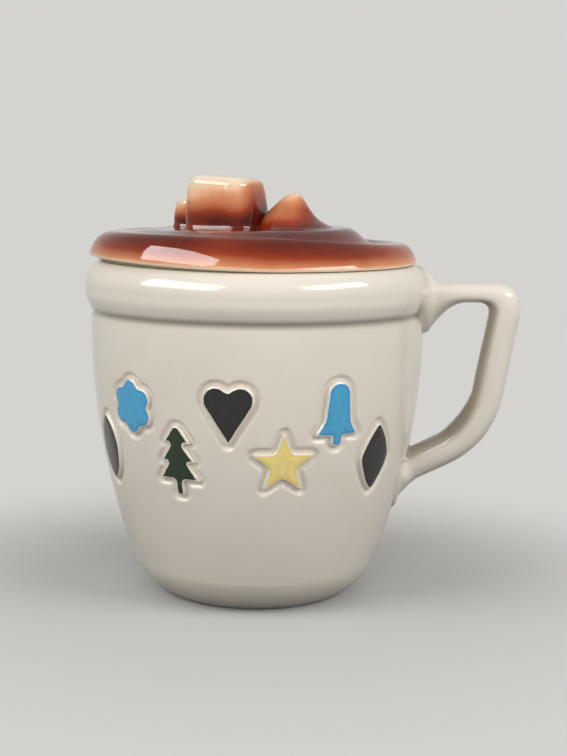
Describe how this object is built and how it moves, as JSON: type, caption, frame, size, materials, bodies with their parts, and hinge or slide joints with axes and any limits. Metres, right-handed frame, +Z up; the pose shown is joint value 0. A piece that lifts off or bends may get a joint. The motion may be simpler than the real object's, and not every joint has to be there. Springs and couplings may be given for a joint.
{
  "type": "biscuit jar",
  "caption": "Glazed ceramic biscuit jar shaped as a mug of cocoa, with an angular ear handle, relief shapes on its front and a lift-off lid with a marshmallow knob.",
  "frame": {"origin": "centre of the foot ring, on the surface that the jar stands on", "axes": "+Z up along the jar's axis, +X towards the handle, the decorated front faces -Y"},
  "size_m": [0.2401, 0.1902, 0.2326],
  "materials": {
    "cream_glaze": "clear gloss glaze over a cream body",
    "bare_rim": "cream body with a thin glaze, wiped where it rests",
    "cocoa_glaze": "sprayed brown gloss glaze, darker in the hollows and orange on the edges",
    "toasted_glaze": "gloss glaze that runs from cream at the top to toasted brown at the foot",
    "blue_glaze": "light blue gloss glaze",
    "black_glaze": "near-black gloss glaze",
    "yellow_glaze": "yellow gloss glaze, thin and streaky",
    "green_glaze": "dark green gloss glaze",
    "brown_glaze": "dark brown gloss glaze"
  },
  "bodies": {
    "jar": {"jar_body": "cream_glaze", "handle": "cream_glaze", "relief_leaf": "brown_glaze", "relief_flower": "blue_glaze", "relief_tree": "green_glaze", "relief_heart": "black_glaze", "relief_star": "yellow_glaze", "relief_bell": "blue_glaze", "relief_diamond": "black_glaze"},
    "lid": {"lid_shell": "cocoa_glaze", "lid_collar": "bare_rim", "marshmallow_knob": "toasted_glaze", "small_marshmallow": "toasted_glaze", "cream_peak": "cocoa_glaze"}
  },
  "joints": [
    {"name": "lid_lift", "type": "slide", "parent": "jar", "child": "lid", "axis": [0, 0, 1], "range_m": [0, 0.08]}
  ]
}
